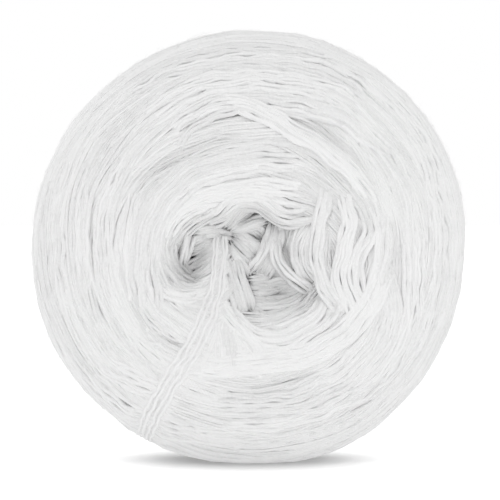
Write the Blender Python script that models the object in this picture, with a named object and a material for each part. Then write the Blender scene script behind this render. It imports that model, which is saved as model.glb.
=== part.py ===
"""A round cake of soft white merino yarn. It stands on its rim with its face to the front, its middle has sunk
in where the yarn is drawn out, and the four threads of the loose end lie over the face and round the rim.

Metres, +Z up. The face looks towards -Y, and the origin is on the floor under the middle of the cake.
"""

import math
from collections import namedtuple

import bmesh
import bpy
from mathutils import Vector

MM = 0.001

# Driving sizes of the wound cake
CAKE_RADIUS = 60.0 * MM
CAKE_DEPTH = 70.0 * MM
FLAT_SPOT_WIDTH = 20.0 * MM
CAKE_BASE_RADIUS = 60.5 * MM

# Worked out from them
HALF_DEPTH = CAKE_DEPTH / 2
CENTRE_HEIGHT = math.sqrt(CAKE_BASE_RADIUS**2 - (FLAT_SPOT_WIDTH / 2) ** 2)

# The section of the cake from the sunken middle of its face, over the rim, to the dimple of its back.
# out is a share of the radius, and fore a share of half the depth, towards the front.
Section = namedtuple("Section", "out fore")
SECTION = [
    Section(0.00, 0.50),
    Section(0.10, 0.53),
    Section(0.18, 0.64),
    Section(0.26, 0.82),
    Section(0.34, 0.93),
    Section(0.46, 0.985),
    Section(0.60, 0.96),
    Section(0.74, 0.88),
    Section(0.86, 0.73),
    Section(0.945, 0.54),
    Section(0.988, 0.30),
    Section(1.00, 0.00),
    Section(0.988, -0.30),
    Section(0.945, -0.56),
    Section(0.85, -0.77),
    Section(0.72, -0.92),
    Section(0.56, -0.985),
    Section(0.42, -0.99),
    Section(0.28, -0.94),
    Section(0.17, -0.83),
    Section(0.08, -0.73),
    Section(0.00, -0.69),
]
FRONT_ROWS = 5
FACE_ROWS = 8
SIDE_ROWS = 14

# How far apart the rings of the mesh lie in the middle, on the face, round the rim and on the back
MIDDLE_STEP = 1.7 * MM
FACE_STEP = 2.1 * MM
RIM_STEP = 3.6 * MM
BACK_STEP = 3.8 * MM
SPOKES = 72

# The outline isn't a true circle: swell is how far it stands out at each angle, seen from the front
Swell = namedtuple("Swell", "angle swell")
OUTLINE = [
    Swell(0, -0.4 * MM),
    Swell(30, 0.7 * MM),
    Swell(60, 0.6 * MM),
    Swell(90, 0.1 * MM),
    Swell(120, -0.4 * MM),
    Swell(150, 0.0 * MM),
    Swell(180, 0.4 * MM),
    Swell(210, 0.8 * MM),
    Swell(240, -0.1 * MM),
    Swell(270, 0.3 * MM),
    Swell(300, 1.0 * MM),
    Swell(330, -0.1 * MM),
]

# The sunken middle lies a little low and to the left, and is wider than it is high
MIDDLE_X = -1.2 * MM
MIDDLE_Z = -4.4 * MM
MIDDLE_RADIUS = 18.0 * MM
MIDDLE_FADE = 42.0 * MM
MIDDLE_WIDER = 1.17
MIDDLE_LOWER = 0.86

# Locks of turns that stand up from the face, each an arc round the middle. Angles are in degrees, anticlockwise
# from the right, and the three radii are those at the start, half way and at the end.
Lock = namedtuple("Lock", "name start end radius_start radius_half radius_end half_width rise")
LOCKS = [
    Lock("shoulder", 40, 132, 53.5 * MM, 53.0 * MM, 52.0 * MM, 5.0 * MM, 0.9 * MM),
    Lock("top", 45, 142, 43.7 * MM, 42.0 * MM, 41.5 * MM, 4.0 * MM, 0.9 * MM),
    Lock("sweep", 14, 104, 37.5 * MM, 34.0 * MM, 39.5 * MM, 2.8 * MM, 2.2 * MM),
    Lock("collar", 58, 222, 31.5 * MM, 25.6 * MM, 31.5 * MM, 4.6 * MM, 1.9 * MM),
    Lock("upper lip", 40, 192, 24.5 * MM, 20.4 * MM, 20.0 * MM, 3.8 * MM, 1.6 * MM),
    Lock("left middle", 132, 210, 43.5 * MM, 43.6 * MM, 44.5 * MM, 4.0 * MM, 1.0 * MM),
    Lock("left outer", 136, 206, 52.5 * MM, 52.2 * MM, 52.0 * MM, 4.2 * MM, 0.8 * MM),
    Lock("left inner", 150, 215, 35.0 * MM, 35.5 * MM, 37.0 * MM, 3.4 * MM, 1.1 * MM),
    Lock("lower left", 196, 280, 42.5 * MM, 42.0 * MM, 38.5 * MM, 4.0 * MM, 1.2 * MM),
    Lock("lower band", 232, 324, 39.5 * MM, 30.6 * MM, 35.5 * MM, 3.4 * MM, 1.9 * MM),
    Lock("lower lip", 236, 332, 11.0 * MM, 23.2 * MM, 20.0 * MM, 3.8 * MM, 1.4 * MM),
    Lock("lower right", 284, 350, 38.5 * MM, 37.6 * MM, 39.5 * MM, 3.6 * MM, 1.2 * MM),
    Lock("bottom", 226, 322, 50.0 * MM, 46.0 * MM, 48.5 * MM, 4.0 * MM, 1.0 * MM),
    Lock("foot", 215, 330, 55.0 * MM, 53.0 * MM, 55.0 * MM, 3.6 * MM, 0.8 * MM),
    Lock("right wall", -36, 50, 27.0 * MM, 18.0 * MM, 30.0 * MM, 3.2 * MM, 1.8 * MM),
    Lock("right inner", -40, 40, 34.5 * MM, 25.0 * MM, 31.5 * MM, 2.8 * MM, 1.5 * MM),
    Lock("right middle", -36, 26, 38.0 * MM, 33.6 * MM, 35.5 * MM, 3.0 * MM, 1.3 * MM),
    Lock("right broad", -30, 38, 45.5 * MM, 43.0 * MM, 42.5 * MM, 4.2 * MM, 1.1 * MM),
    Lock("right outer", -26, 42, 51.0 * MM, 50.4 * MM, 51.2 * MM, 4.0 * MM, 0.8 * MM),
]

# Grooves between the locks, where the deeper turns show
GROOVES = [
    Lock("under sweep", 20, 78, 40.5 * MM, 38.2 * MM, 40.0 * MM, 1.9 * MM, -1.6 * MM),
    Lock("over collar", 92, 158, 32.2 * MM, 31.6 * MM, 31.0 * MM, 2.0 * MM, -1.7 * MM),
    Lock("under top", 98, 134, 41.0 * MM, 45.5 * MM, 43.0 * MM, 1.8 * MM, -0.9 * MM),
    Lock("left", 158, 208, 39.6 * MM, 39.4 * MM, 40.6 * MM, 1.8 * MM, -1.0 * MM),
    Lock("under lower band", 252, 312, 36.2 * MM, 35.6 * MM, 39.0 * MM, 1.9 * MM, -1.5 * MM),
    Lock("right", -26, 22, 39.6 * MM, 38.8 * MM, 39.2 * MM, 1.8 * MM, -1.1 * MM),
    Lock("right gap", -20, 20, 31.0 * MM, 29.2 * MM, 31.0 * MM, 1.6 * MM, -1.2 * MM),
]

# Pockets where the middle has fallen in. x and z are from the middle of the cake, turn is the angle of the long
# way, and floor is how far the bottom of the pocket lies in front of the cake's middle plane.
Pocket = namedtuple("Pocket", "name x z turn half_long half_wide floor")
POCKETS = [
    Pocket("left", -15.6 * MM, -3.4 * MM, 42, 8.0 * MM, 5.0 * MM, 18.0 * MM),
    Pocket("top", -0.6 * MM, 6.6 * MM, 22, 6.6 * MM, 4.0 * MM, 15.5 * MM),
    Pocket("small", 3.2 * MM, 2.2 * MM, -30, 3.4 * MM, 2.6 * MM, 17.0 * MM),
    Pocket("notch", 8.4 * MM, 4.8 * MM, -60, 3.2 * MM, 2.6 * MM, 17.0 * MM),
    Pocket("trench", 11.0 * MM, -1.2 * MM, -78, 6.6 * MM, 2.4 * MM, 20.0 * MM),
    Pocket("lower right", 8.8 * MM, -12.9 * MM, 4, 8.2 * MM, 4.4 * MM, 14.5 * MM),
]
POCKET_WALL = 15.0 * MM

# Locks that have slumped across the middle, from one point to another. crest is how far the top of the lock lies
# in front of the cake's middle plane at its start and at its end.
Slump = namedtuple("Slump", "name x z x_end z_end half_width crest crest_end")
SLUMPS = [
    Slump("fan left", -6.8 * MM, 4.0 * MM, -8.6 * MM, -13.0 * MM, 3.0 * MM, 25.0 * MM, 31.0 * MM),
    Slump("fan right", -4.0 * MM, 1.0 * MM, 1.2 * MM, -18.5 * MM, 2.9 * MM, 23.0 * MM, 31.0 * MM),
    Slump("cross", -3.6 * MM, 2.4 * MM, 3.6 * MM, -4.4 * MM, 2.6 * MM, 22.5 * MM, 22.0 * MM),
    Slump("tongue", 7.2 * MM, 4.4 * MM, 0.6 * MM, -6.8 * MM, 3.1 * MM, 24.5 * MM, 24.0 * MM),
    Slump("brow", -6.6 * MM, 4.2 * MM, 4.8 * MM, 8.2 * MM, 2.0 * MM, 25.0 * MM, 27.5 * MM),
    Slump("strand", 7.6 * MM, -4.0 * MM, 17.2 * MM, -12.2 * MM, 1.9 * MM, 25.0 * MM, 31.0 * MM),
    Slump("left strand", -17.4 * MM, 3.2 * MM, -18.6 * MM, -6.6 * MM, 1.8 * MM, 30.5 * MM, 26.5 * MM),
    Slump("left floor", -17.6 * MM, -8.6 * MM, -8.0 * MM, -2.2 * MM, 2.6 * MM, 24.0 * MM, 22.0 * MM),
    Slump("low floor", 2.6 * MM, -16.4 * MM, 13.6 * MM, -16.0 * MM, 2.2 * MM, 24.5 * MM, 27.0 * MM),
]
SLUMP_SIDE = 4.5 * MM

# The wool rounds off the hollows of the middle: how often and how far each point moves to its neighbours' mean
SOFTEN_TIMES = 2
SOFTEN_SHARE = 0.5
SOFTEN_RADIUS = 28.0 * MM

# The turns on the rim and the back cross each other in two lays
LAY_WAVES = 8
LAY_PITCH = 18.0 * MM
LAY_RISE = 0.45 * MM
BACK_ARMS = 9
BACK_TWIST = 2.2
BACK_RISE = 0.8 * MM
DIMPLE_SHARE = 0.16

# The loose end: four threads side by side from the sunken middle over the face and round the rim
THREAD_DIAMETER = 0.9 * MM
THREAD_SIDES = 2
THREAD_STEP = 3.4 * THREAD_DIAMETER

Station = namedtuple("Station", "x y z")
LOOSE_END = [
    Station(-7.5 * MM, -25.4 * MM, 63.0 * MM),
    Station(-7.8 * MM, -26.9 * MM, 57.6 * MM),
    Station(-8.2 * MM, -29.2 * MM, 52.2 * MM),
    Station(-9.2 * MM, -30.9 * MM, 46.8 * MM),
    Station(-11.6 * MM, -33.9 * MM, 40.0 * MM),
    Station(-14.8 * MM, -35.2 * MM, 33.4 * MM),
    Station(-18.0 * MM, -35.5 * MM, 28.2 * MM),
    Station(-21.4 * MM, -33.9 * MM, 22.8 * MM),
    Station(-24.2 * MM, -30.5 * MM, 18.1 * MM),
    Station(-26.5 * MM, -25.5 * MM, 13.4 * MM),
    Station(-28.2 * MM, -18.0 * MM, 9.4 * MM),
    Station(-29.2 * MM, -8.0 * MM, 6.5 * MM),
    Station(-29.8 * MM, 3.0 * MM, 6.6 * MM),
    Station(-30.8 * MM, 14.0 * MM, 8.0 * MM),
]

# How far each thread lies to the right of that route at its start, half way and at its end
Thread = namedtuple("Thread", "name start half end")
THREADS = [
    Thread("loose_thread_1", -1.9 * MM, -2.2 * MM, -1.9 * MM),
    Thread("loose_thread_2", -0.65 * MM, -0.85 * MM, -0.65 * MM),
    Thread("loose_thread_3", 0.65 * MM, 0.85 * MM, 0.65 * MM),
    Thread("loose_thread_4", 1.9 * MM, 2.2 * MM, 1.9 * MM),
]

WOOL_COLOUR = (0.83, 0.83, 0.83, 1.0)
LOOSE_COLOUR = (0.88, 0.88, 0.88, 1.0)
WOOL_ROUGHNESS = 0.95


def start_empty():
    for thing in list(bpy.data.objects):
        bpy.data.objects.remove(thing)


def wool(name, colour):
    material = bpy.data.materials.new(name)
    material.use_nodes = True
    shader = material.node_tree.nodes["Principled BSDF"]
    shader.inputs["Base Color"].default_value = colour
    shader.inputs["Roughness"].default_value = WOOL_ROUGHNESS
    shader.inputs["Metallic"].default_value = 0.0
    return material


def ease(share):
    share = min(1.0, max(0.0, share))
    return share * share * (3 - 2 * share)


def spline(before, start, end, after, share):
    """A point on the smooth curve that passes through its neighbours."""
    return 0.5 * (
        2 * start
        + (end - before) * share
        + (2 * before - 5 * start + 4 * end - after) * share**2
        + (3 * start - before - 3 * end + after) * share**3
    )


def outline_swell(angle):
    step = 360 / len(OUTLINE)
    place = (math.degrees(angle) % 360) / step
    row = int(place)
    near = [OUTLINE[(row + k) % len(OUTLINE)].swell for k in (-1, 0, 1, 2)]
    return spline(*near, place - row)


def section_rings():
    """Points of the section at the mesh's own spacing, as (radius, y)."""
    fine = []
    last = len(SECTION) - 1
    for row in range(last):
        rows = [SECTION[min(last, max(0, row + k))] for k in (-1, 0, 1, 2)]
        for part in range(24):
            share = part / 24
            out = spline(*(r.out for r in rows), share)
            fore = spline(*(r.fore for r in rows), share)
            fine.append((row, Vector((max(0.0, out) * CAKE_RADIUS, -fore * HALF_DEPTH))))
    fine.append((last, Vector((0.0, -SECTION[-1].fore * HALF_DEPTH))))
    rings = [fine[0][1]]
    travelled = 0.0
    for (row, point), (_, before) in zip(fine[1:], fine):
        travelled += (point - before).length
        if row < FRONT_ROWS:
            step = MIDDLE_STEP
        elif row < FACE_ROWS:
            step = FACE_STEP
        elif row < SIDE_ROWS:
            step = RIM_STEP
        else:
            step = BACK_STEP
        if travelled >= step:
            rings.append(point)
            travelled = 0.0
    if rings[-1].x > BACK_STEP / 2:
        rings.append(fine[-1][1])
    else:
        rings[-1] = fine[-1][1]
    return rings


def section_normals(rings):
    normals = []
    for place in range(len(rings)):
        before = rings[max(0, place - 1)]
        after = rings[min(len(rings) - 1, place + 1)]
        along = (after - before).normalized()
        normals.append(Vector((along.y, -along.x)))
    return normals


def lock_rise(lock, radius, degrees):
    """How far one lock or groove changes the face there; None beside it."""
    share = ((degrees - lock.start) % 360) / (lock.end - lock.start)
    if share >= 1.0:
        return None
    start, half, end = lock.radius_start, lock.radius_half, lock.radius_end
    middle = start + share * (4 * half - 3 * start - end) + share**2 * 2 * (start + end - 2 * half)
    across = abs(radius - middle) / lock.half_width
    if across >= 1.0:
        return None
    taper = ease(min(share, 1 - share) * 5)
    return lock.rise * taper * (1 - across**2)


def face_relief(radius, degrees):
    raised = [lock_rise(lock, radius, degrees) for lock in LOCKS]
    sunk = [lock_rise(groove, radius, degrees) for groove in GROOVES]
    top = max([rise for rise in raised if rise is not None], default=0.0)
    return top + sum(rise for rise in sunk if rise is not None)


def pocket_floor(pocket, x, z):
    turn = math.radians(pocket.turn)
    along = (x - pocket.x) * math.cos(turn) + (z - pocket.z) * math.sin(turn)
    across = (z - pocket.z) * math.cos(turn) - (x - pocket.x) * math.sin(turn)
    away = math.hypot(along / pocket.half_long, across / pocket.half_wide)
    return pocket.floor + POCKET_WALL * max(0.0, away - 0.45) ** 2 * 1.6


def slump_crest(slump, x, z):
    start = Vector((slump.x, slump.z))
    end = Vector((slump.x_end, slump.z_end))
    place = Vector((x, z))
    share = (place - start).dot(end - start) / (end - start).length_squared
    held = min(1.0, max(0.0, share))
    across = (place - start.lerp(end, held)).length / slump.half_width
    crest = slump.crest + (slump.crest_end - slump.crest) * held
    return crest - SLUMP_SIDE * across**2


def sunken_middle(fore, x, z):
    """How far the surface lies in front of the middle plane, once the pockets and slumped locks are in it."""
    for pocket in POCKETS:
        fore = min(fore, pocket_floor(pocket, x, z))
    for slump in SLUMPS:
        fore = max(fore, slump_crest(slump, x, z))
    return fore


def crossing_lay(angle, y):
    wave = 2 * math.pi * y / LAY_PITCH
    return LAY_RISE * max(math.cos(LAY_WAVES * angle + wave), math.cos(LAY_WAVES * angle - wave + 1.0))


def back_relief(radius, angle):
    share = radius / CAKE_RADIUS
    return BACK_RISE * ease(share / DIMPLE_SHARE) * math.cos(BACK_ARMS * (angle - BACK_TWIST * share))


def cake_point(ring, normal, angle):
    radius, y = ring
    front = y < 0
    if front:
        near = 1 - ease((radius - MIDDLE_RADIUS) / (MIDDLE_FADE - MIDDLE_RADIUS))
        held = 1 - ease(radius / CAKE_RADIUS)
        wider = 1 + (MIDDLE_WIDER - 1) * near
        lower = 1 + (MIDDLE_LOWER - 1) * near
        shift = Vector((MIDDLE_X, 0, MIDDLE_Z)) * held
        relief = face_relief(radius, math.degrees(angle))
    else:
        wider = lower = 1.0
        shift = Vector((0, 0, 0))
        relief = back_relief(radius, angle)
    share = radius / CAKE_RADIUS
    rim = ease((share - 0.80) / 0.2)
    relief = relief * (1 - rim) + crossing_lay(angle, y) * rim
    swell = outline_swell(angle) * share**2
    out = radius + swell + relief * normal.x
    x = out * math.cos(angle) * wider + shift.x
    z = out * math.sin(angle) * lower + shift.z
    fore = -(y + relief * normal.y)
    if front and radius < MIDDLE_FADE:
        deep = sunken_middle(fore, x, z)
        fore += (deep - fore) * (1 - ease((radius - 21 * MM) / (7 * MM)))
    return Vector((x, -fore, z))


def wound_cake():
    """The wound form as one closed solid, with its flat spot at the bottom."""
    rings = section_rings()
    normals = section_normals(rings)
    mesh = bmesh.new()
    front = mesh.verts.new(cake_point(rings[0], normals[0], 0.0))
    back = mesh.verts.new(cake_point(rings[-1], normals[-1], 0.0))
    loops = []
    for ring, normal in zip(rings[1:-1], normals[1:-1]):
        angles = [2 * math.pi * spoke / SPOKES for spoke in range(SPOKES)]
        loops.append([mesh.verts.new(cake_point(ring, normal, angle)) for angle in angles])
    for spoke in range(SPOKES):
        after = (spoke + 1) % SPOKES
        mesh.faces.new((front, loops[0][spoke], loops[0][after]))
        mesh.faces.new((back, loops[-1][after], loops[-1][spoke]))
        for inner, outer in zip(loops, loops[1:]):
            mesh.faces.new((inner[spoke], outer[spoke], outer[after], inner[after]))
    middle = [vert for vert in mesh.verts if vert.co.y < 0 and math.hypot(vert.co.x, vert.co.z) < SOFTEN_RADIUS]
    for _ in range(SOFTEN_TIMES):
        bmesh.ops.smooth_vert(
            mesh, verts=middle, factor=SOFTEN_SHARE, use_axis_x=True, use_axis_y=True, use_axis_z=True
        )
    bmesh.ops.translate(mesh, vec=(0, 0, CENTRE_HEIGHT), verts=mesh.verts)
    everything = mesh.verts[:] + mesh.edges[:] + mesh.faces[:]
    cut = bmesh.ops.bisect_plane(
        mesh, geom=everything, plane_co=(0, 0, 0), plane_no=(0, 0, -1), clear_outer=True
    )
    rim = [part for part in cut["geom_cut"] if isinstance(part, bmesh.types.BMEdge)]
    bmesh.ops.contextual_create(mesh, geom=rim)
    bmesh.ops.recalc_face_normals(mesh, faces=mesh.faces)
    low = Vector([min(vert.co[k] for vert in mesh.verts) for k in range(3)])
    high = Vector([max(vert.co[k] for vert in mesh.verts) for k in range(3)])
    off_centre = (low + high) / 2
    bmesh.ops.translate(mesh, vec=(-off_centre.x, -off_centre.y, 0), verts=mesh.verts)
    data = bpy.data.meshes.new("yarn_cake")
    mesh.to_mesh(data)
    mesh.free()
    data.shade_smooth()
    data.set_sharp_from_angle(angle=math.radians(60))
    cake = bpy.data.objects.new("yarn_cake", data)
    bpy.context.scene.collection.objects.link(cake)
    cake.data.materials.append(wool("merino_wool", WOOL_COLOUR))
    return cake


def sideways(route, place):
    """The direction to the right of the route, seen from outside the cake."""
    last = len(route) - 1
    along = (route[min(last, place + 1)] - route[max(0, place - 1)]).normalized()
    outward = (route[place] - Vector((0, 0, CENTRE_HEIGHT))).normalized()
    return outward.cross(along).normalized()


def thread_line(thread):
    """Points along one thread, from the smooth curve through the stations moved to its own side."""
    stations = [Vector(station) for station in LOOSE_END]
    last = len(stations) - 1
    moved = []
    for place, station in enumerate(stations):
        share = place / last
        start, half, end = thread.start, thread.half, thread.end
        aside = start + share * (4 * half - 3 * start - end) + share**2 * 2 * (start + end - 2 * half)
        moved.append(station - sideways(stations, place) * aside)
    fine = []
    for row in range(last):
        near = [moved[min(last, max(0, row + k))] for k in (-1, 0, 1, 2)]
        fine += [spline(*near, part / 20) for part in range(20)]
    fine.append(moved[-1])
    line = [fine[0]]
    travelled = 0.0
    for point, before in zip(fine[1:], fine):
        travelled += (point - before).length
        if travelled >= THREAD_STEP:
            line.append(point)
            travelled = 0.0
    line[-1] = fine[-1]
    return line


def loose_thread(thread, material):
    line = thread_line(thread)
    curve = bpy.data.curves.new(thread.name, "CURVE")
    curve.dimensions = "3D"
    curve.bevel_depth = THREAD_DIAMETER / 2
    curve.bevel_resolution = THREAD_SIDES
    curve.use_fill_caps = True
    run = curve.splines.new("POLY")
    run.points.add(len(line) - 1)
    for point, place in zip(run.points, line):
        point.co = (*place, 1.0)
    curve.materials.append(material)
    bpy.context.scene.collection.objects.link(bpy.data.objects.new(thread.name, curve))


def main():
    start_empty()
    wound_cake()
    loose = wool("loose_wool", LOOSE_COLOUR)
    for thread in THREADS:
        loose_thread(thread, loose)


main()
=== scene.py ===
import math
from collections import namedtuple

import bmesh
import bpy
import numpy as np
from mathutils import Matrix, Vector
from mathutils.bvhtree import BVHTree


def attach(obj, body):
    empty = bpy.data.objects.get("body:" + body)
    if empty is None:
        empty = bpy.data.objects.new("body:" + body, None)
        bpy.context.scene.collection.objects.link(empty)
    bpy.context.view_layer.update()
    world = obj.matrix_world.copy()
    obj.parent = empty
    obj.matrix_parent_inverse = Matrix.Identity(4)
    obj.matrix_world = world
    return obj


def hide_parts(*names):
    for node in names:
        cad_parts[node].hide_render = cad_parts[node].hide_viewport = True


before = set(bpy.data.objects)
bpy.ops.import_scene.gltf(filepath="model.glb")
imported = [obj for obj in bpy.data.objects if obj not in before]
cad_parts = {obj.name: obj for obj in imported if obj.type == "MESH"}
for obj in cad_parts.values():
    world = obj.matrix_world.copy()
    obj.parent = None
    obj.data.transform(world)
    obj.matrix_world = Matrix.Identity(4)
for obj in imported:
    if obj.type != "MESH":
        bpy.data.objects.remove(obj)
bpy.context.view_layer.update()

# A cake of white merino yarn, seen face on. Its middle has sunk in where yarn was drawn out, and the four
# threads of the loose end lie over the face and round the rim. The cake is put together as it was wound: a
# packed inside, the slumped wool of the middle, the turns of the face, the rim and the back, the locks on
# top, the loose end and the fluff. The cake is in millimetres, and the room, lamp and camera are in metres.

MM = 0.001

# The table the cake stands on
# A plain white top that glows, so that only the shadow where the cake touches it shows, and that shadow is
# painted: the glow that the camera sees fades out towards the cake, while the light it throws on the cake is
# even.
TABLE_SIZE = 12.0
TABLE_COLOUR = (0.70, 0.70, 0.70, 1.0)
TABLE_GLOW = 0.60
GLOW_ON_CAKE = 0.64
# Painted contact shadow: the glow the camera sees is dimmed near the cake, out to these distances in metres.
PAINTED_SHADOW_DARKEST_TO = 0.014
PAINTED_SHADOW_ENDS = 0.047
PAINTED_SHADOW_DEPTH_SCALE = 0.8


def put(name, data):
    """A new object in the scene, at its origin."""
    thing = bpy.data.objects.new(name, data)
    bpy.context.scene.collection.objects.link(thing)
    return thing


def new_material(name, roughness, specular):
    """A new material, with its nodes, links and shader."""
    material = bpy.data.materials.new(name)
    material.use_nodes = True
    shader = material.node_tree.nodes["Principled BSDF"]
    shader.inputs["Roughness"].default_value = roughness
    shader.inputs["Specular IOR Level"].default_value = specular
    return material, material.node_tree.nodes, material.node_tree.links, shader


table_mesh = bpy.data.meshes.new("table")
table_form = bmesh.new()
bmesh.ops.create_grid(table_form, x_segments=8, y_segments=8, size=TABLE_SIZE / 2)
table_form.to_mesh(table_mesh)
table_form.free()
table = put("table", table_mesh)
table_paint, table_nodes, table_links, table_shader = new_material("table_white", 0.9, 0.1)
table_shader.inputs["Base Color"].default_value = TABLE_COLOUR
table_shader.inputs["Emission Strength"].default_value = TABLE_GLOW
# The painted shadow: the glow that the camera sees fades towards the cake, and the glow that lights the cake
# does not.
table_place = table_nodes.new("ShaderNodeTexCoord")
table_squeeze = table_nodes.new("ShaderNodeMapping")
table_squeeze.inputs["Scale"].default_value = (1.0, PAINTED_SHADOW_DEPTH_SCALE, 1.0)
table_away = table_nodes.new("ShaderNodeVectorMath")
table_away.operation = "LENGTH"
table_painted_shadow = table_nodes.new("ShaderNodeMapRange")
table_painted_shadow.interpolation_type = "SMOOTHSTEP"
table_painted_shadow.inputs["From Min"].default_value = PAINTED_SHADOW_DARKEST_TO
table_painted_shadow.inputs["From Max"].default_value = PAINTED_SHADOW_ENDS
table_links.new(table_place.outputs["Object"], table_squeeze.inputs["Vector"])
table_links.new(table_squeeze.outputs["Vector"], table_away.inputs[0])
table_links.new(table_away.outputs["Value"], table_painted_shadow.inputs["Value"])
table_ray = table_nodes.new("ShaderNodeLightPath")
table_glow = table_nodes.new("ShaderNodeMix")
table_glow.data_type = "FLOAT"
table_glow.inputs["A"].default_value = GLOW_ON_CAKE
table_links.new(table_ray.outputs["Is Camera Ray"], table_glow.inputs["Factor"])
table_links.new(table_painted_shadow.outputs["Result"], table_glow.inputs["B"])
table_links.new(table_glow.outputs["Result"], table_shader.inputs["Emission Color"])
table_mesh.materials.append(table_paint)

# The light
# A white room, dimmer at the height of the cake than overhead and brighter behind it than in front, and a
# weak lamp in front and above. The camera sees the room's far side as plain white.
AXIS_HEIGHT = 59.7
WALL_LIGHT = 0.745
CEILING_LIGHT = 1.00
BEHIND_BRIGHTER = 0.16
LAMP_PLACE = (0.15, -1.50, 1.50)
LAMP_SIZE = 0.9
LAMP_POWER = 3.6


def math_node(nodes, operation, factor=None):
    """A node that works out one number, with its second input set where a factor is given."""
    node = nodes.new("ShaderNodeMath")
    node.operation = operation
    if factor is not None:
        node.inputs[1].default_value = factor
    return node


world = bpy.data.worlds.new("studio")
bpy.context.scene.world = world
world.use_nodes = True
world_nodes = world.node_tree.nodes
world_links = world.node_tree.links
world_nodes["Background"].inputs["Color"].default_value = (1.0, 1.0, 1.0, 1.0)
direction = world_nodes.new("ShaderNodeTexCoord")
direction_parts = world_nodes.new("ShaderNodeSeparateXYZ")
overhead = world_nodes.new("ShaderNodeMapRange")
overhead.inputs["To Min"].default_value = WALL_LIGHT
overhead.inputs["To Max"].default_value = CEILING_LIGHT
behind = math_node(world_nodes, "MULTIPLY_ADD", BEHIND_BRIGHTER)
world_ray = world_nodes.new("ShaderNodeLightPath")
whitened = math_node(world_nodes, "MAXIMUM")
world_links.new(direction.outputs["Generated"], direction_parts.inputs[0])
world_links.new(direction_parts.outputs["Z"], overhead.inputs["Value"])
world_links.new(direction_parts.outputs["Y"], behind.inputs[0])
world_links.new(overhead.outputs["Result"], behind.inputs[2])
world_links.new(behind.outputs[0], whitened.inputs[0])
world_links.new(world_ray.outputs["Is Camera Ray"], whitened.inputs[1])
world_links.new(whitened.outputs[0], world_nodes["Background"].inputs["Strength"])
lamp_light = bpy.data.lights.new("front_above", "AREA")
lamp_light.shape = "DISK"
lamp_light.size = LAMP_SIZE
lamp_light.energy = LAMP_POWER
lamp = put("front_above", lamp_light)
lamp.location = LAMP_PLACE
lamp_aim = Vector((0, 0, AXIS_HEIGHT * MM)) - lamp.location
lamp.rotation_euler = lamp_aim.to_track_quat("-Z", "Y").to_euler()
bpy.context.scene.view_settings.view_transform = "Standard"

# The camera
# Square on to the cake's face and a little above it, as in the photo, where a pixel is 0.28 mm.
CAMERA_DISTANCE = 1.0
CAMERA_RISE = math.radians(1.0)
FRAME_WIDTH = 140.4 * MM
SENSOR_WIDTH = 36.0
AIM_RIGHT = 0.5
AIM_LOWER = 0.9

camera_data = bpy.data.cameras.new("camera")
camera_data.sensor_width = SENSOR_WIDTH
camera_data.lens = SENSOR_WIDTH * CAMERA_DISTANCE / FRAME_WIDTH
camera_data.clip_end = 50.0
camera = put("camera", camera_data)
camera_aim = Vector((AIM_RIGHT * MM, 0, (AXIS_HEIGHT - AIM_LOWER) * MM))
camera.location = camera_aim + CAMERA_DISTANCE * Vector((0, -math.cos(CAMERA_RISE), math.sin(CAMERA_RISE)))
camera.rotation_euler = (camera_aim - camera.location).to_track_quat("-Z", "Y").to_euler()
bpy.context.scene.camera = camera

# The wool
# Fine merino fibres, all white, barely twisted into threads. Each thread's own fibres run along it and lean
# a little round it, and one thread is a trace lighter or darker than the next.
FIBRE_LEAN = 0.25
FIBRE_STRETCH = 0.30
FIBRE_RELIEF = 0.20 * MM
STREAK_STRENGTH = 1.6
FIBRES_IN_TONE = 0.38


def fibre_group():
    """A node group that gives the height and tone of a thread's fibres, from its unwrapped surface."""
    group = bpy.data.node_groups.new("fibres", "ShaderNodeTree")
    group.interface.new_socket("Height", in_out="OUTPUT", socket_type="NodeSocketFloat")
    group.interface.new_socket("Tone", in_out="OUTPUT", socket_type="NodeSocketFloat")
    nodes = group.nodes
    links = group.links
    outside = nodes.new("NodeGroupOutput")
    unwrapped = nodes.new("ShaderNodeUVMap")
    unwrapped.uv_map = "thread"
    apart = nodes.new("ShaderNodeSeparateXYZ")
    links.new(unwrapped.outputs["UV"], apart.inputs[0])
    leaned = math_node(nodes, "MULTIPLY_ADD", FIBRE_LEAN)
    links.new(apart.outputs["Y"], leaned.inputs[0])
    links.new(apart.outputs["X"], leaned.inputs[2])
    # The way round a thread becomes a circle, so that the fibres meet where the unwrapped surface ends
    turned = math_node(nodes, "MULTIPLY", 2 * math.pi)
    links.new(leaned.outputs[0], turned.inputs[0])
    together = nodes.new("ShaderNodeCombineXYZ")
    for operation, axis in (("COSINE", "X"), ("SINE", "Y")):
        part = math_node(nodes, operation)
        links.new(turned.outputs[0], part.inputs[0])
        links.new(part.outputs[0], together.inputs[axis])
    stretched = math_node(nodes, "MULTIPLY", FIBRE_STRETCH)
    links.new(apart.outputs["Y"], stretched.inputs[0])
    links.new(stretched.outputs[0], together.inputs["Z"])
    fine = nodes.new("ShaderNodeTexNoise")
    fine.inputs["Scale"].default_value = 1.0
    fine.inputs["Detail"].default_value = 3.0
    fine.inputs["Roughness"].default_value = 0.6
    links.new(together.outputs[0], fine.inputs["Vector"])
    links.new(fine.outputs["Fac"], outside.inputs["Height"])
    patches = nodes.new("ShaderNodeTexNoise")
    patches.noise_dimensions = "1D"
    patches.inputs["Scale"].default_value = 1.4
    patches.inputs["Detail"].default_value = 1.0
    links.new(apart.outputs["Y"], patches.inputs["W"])
    streaks = math_node(nodes, "MULTIPLY_ADD", STREAK_STRENGTH)
    links.new(fine.outputs["Fac"], streaks.inputs[0])
    links.new(patches.outputs["Fac"], streaks.inputs[2])
    links.new(streaks.outputs[0], outside.inputs["Tone"])
    return group


FIBRES = fibre_group()


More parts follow.
